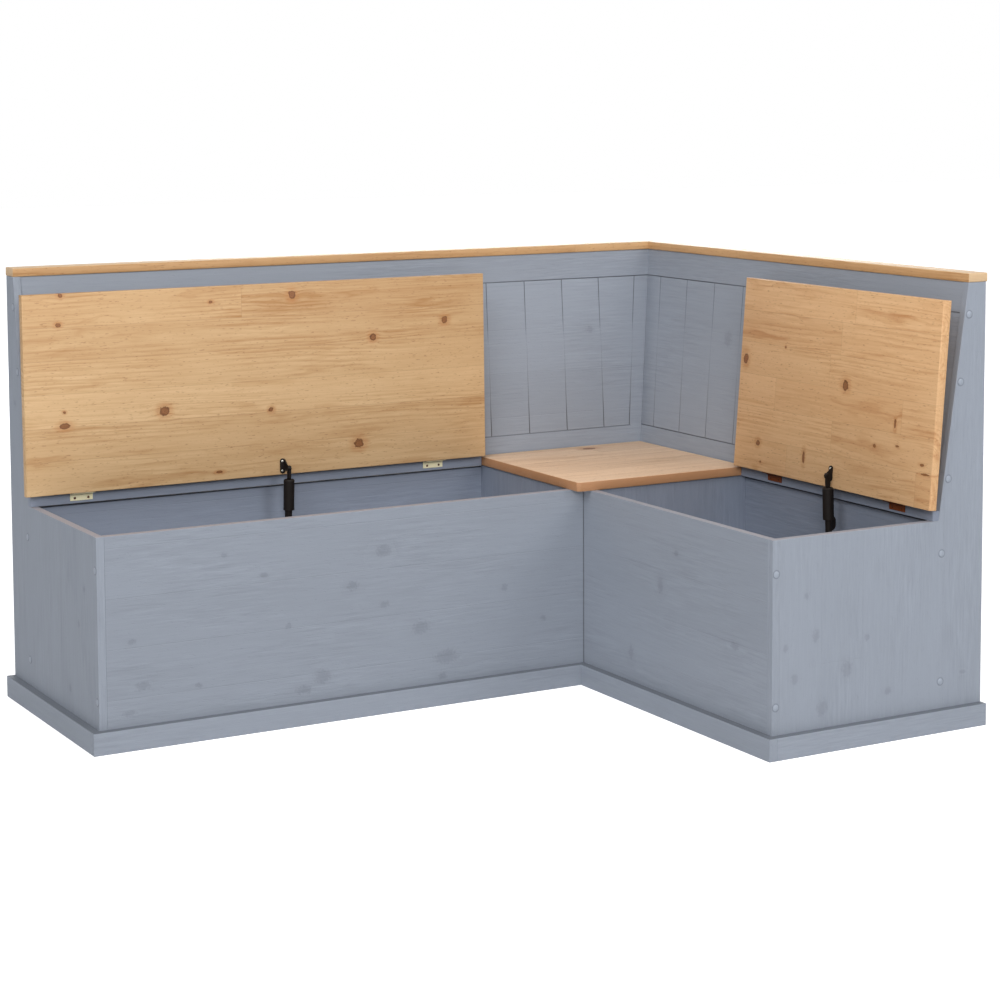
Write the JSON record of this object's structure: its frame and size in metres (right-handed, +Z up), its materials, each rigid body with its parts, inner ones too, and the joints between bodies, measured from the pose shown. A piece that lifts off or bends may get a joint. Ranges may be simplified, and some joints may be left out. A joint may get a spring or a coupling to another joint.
{
  "type": "corner storage bench",
  "caption": "L-shaped corner bench with inclined backrests, a fixed corner seat and storage chests under lids that open on butt hinges with telescopic stays.",
  "frame": {"origin": "on the floor under the middle of the bounding box, with the lids open", "axes": "+X along the long leg towards the outer back corner, +Y along the short leg towards it, +Z up"},
  "size_m": [1.607, 1.203, 0.896],
  "materials": {
    "paint": "matt painted",
    "paint_inside": "matt painted",
    "pine": "satin lacquer",
    "brass": "satin",
    "stay_black": "satin",
    "plug": "matt"
  },
  "bodies": {
    "root": {"corner_seat": "pine", "end_panel_long": "paint", "front_panel_long": "paint", "back_wall_long": "paint_inside", "divider_long": "paint_inside", "floor_long": "paint_inside", "plinth_front_long": "paint", "plinth_end_long": "paint", "backrest_long": "paint", "hinge_strip_long": "paint", "cap_long": "pine", "stay_base_bracket_long": "stay_black", "hinge_leaf_strip_long_1": "brass", "hinge_leaf_strip_long_2": "brass", "hinge_pin_long_1": "brass", "hinge_pin_long_2": "brass", "screw_plug_long_1": "plug", "screw_plug_long_2": "plug", "screw_plug_long_3": "plug", "screw_plug_long_4": "plug", "screw_plug_long_5": "plug", "screw_plug_long_6": "plug", "screw_plug_long_7": "plug", "end_panel_short": "paint", "front_panel_short": "paint", "back_wall_short": "paint_inside", "divider_short": "paint_inside", "floor_short": "paint_inside", "plinth_front_short": "paint", "plinth_end_short": "paint", "backrest_short": "paint", "hinge_strip_short": "paint", "cap_short": "pine", "stay_base_bracket_short": "stay_black", "hinge_leaf_strip_short_1": "brass", "hinge_leaf_strip_short_2": "brass", "hinge_pin_short_1": "brass", "hinge_pin_short_2": "brass", "screw_plug_short_1": "plug", "screw_plug_short_2": "plug", "screw_plug_short_3": "plug", "screw_plug_short_4": "plug", "screw_plug_short_5": "plug", "screw_plug_short_6": "plug", "screw_plug_short_7": "plug"},
    "lid_long": {"lid_long": "pine", "hinge_leaf_lid_long_1": "brass", "hinge_leaf_lid_long_2": "brass", "stay_lid_bracket_long": "stay_black"},
    "stay_sleeve_long": {"stay_sleeve_long": "stay_black"},
    "stay_plunger_long": {"stay_plunger_long": "stay_black"},
    "lid_short": {"lid_short": "pine", "hinge_leaf_lid_short_1": "brass", "hinge_leaf_lid_short_2": "brass", "stay_lid_bracket_short": "stay_black"},
    "stay_sleeve_short": {"stay_sleeve_short": "stay_black"},
    "stay_plunger_short": {"stay_plunger_short": "stay_black"}
  },
  "joints": [
    {"name": "long_lid_hinge", "type": "hinge", "parent": "root", "child": "lid_long", "pos_m": [-0.272, 0.4688, 0.4366], "axis": [1, 0, 0], "range_deg": [0, 91]},
    {"name": "long_stay_pivot", "type": "hinge", "parent": "lid_long", "child": "stay_sleeve_long", "pos_m": [-0.2295, 0.43412, 0.45521], "axis": [1, 0, 0], "range_deg": [-97.36, 0]},
    {"name": "long_stay_slide", "type": "slide", "parent": "stay_sleeve_long", "child": "stay_plunger_long", "axis": [0, -0.0478, 0.9989], "range_m": [0, 0.04356]},
    {"name": "short_lid_hinge", "type": "hinge", "parent": "root", "child": "lid_short", "pos_m": [0.6708, -0.272, 0.4366], "axis": [0, -1, 0], "range_deg": [0, 94.5]},
    {"name": "short_stay_pivot", "type": "hinge", "parent": "lid_short", "child": "stay_sleeve_short", "pos_m": [0.63818, -0.2965, 0.46826], "axis": [0, -1, 0], "range_deg": [-95.26, 0]},
    {"name": "short_stay_slide", "type": "slide", "parent": "stay_sleeve_short", "child": "stay_plunger_short", "axis": [-0.0335, 0, 0.9994], "range_m": [0, 0.05674]}
  ],
  "couplings": [
    {"joint": "long_stay_pivot", "follows": "long_lid_hinge", "ratio": -1.0698},
    {"joint": "long_stay_slide", "follows": "long_lid_hinge", "m_per_rad": 0.027418},
    {"joint": "short_stay_pivot", "follows": "short_lid_hinge", "ratio": -1.0079},
    {"joint": "short_stay_slide", "follows": "short_lid_hinge", "m_per_rad": 0.034399}
  ]
}
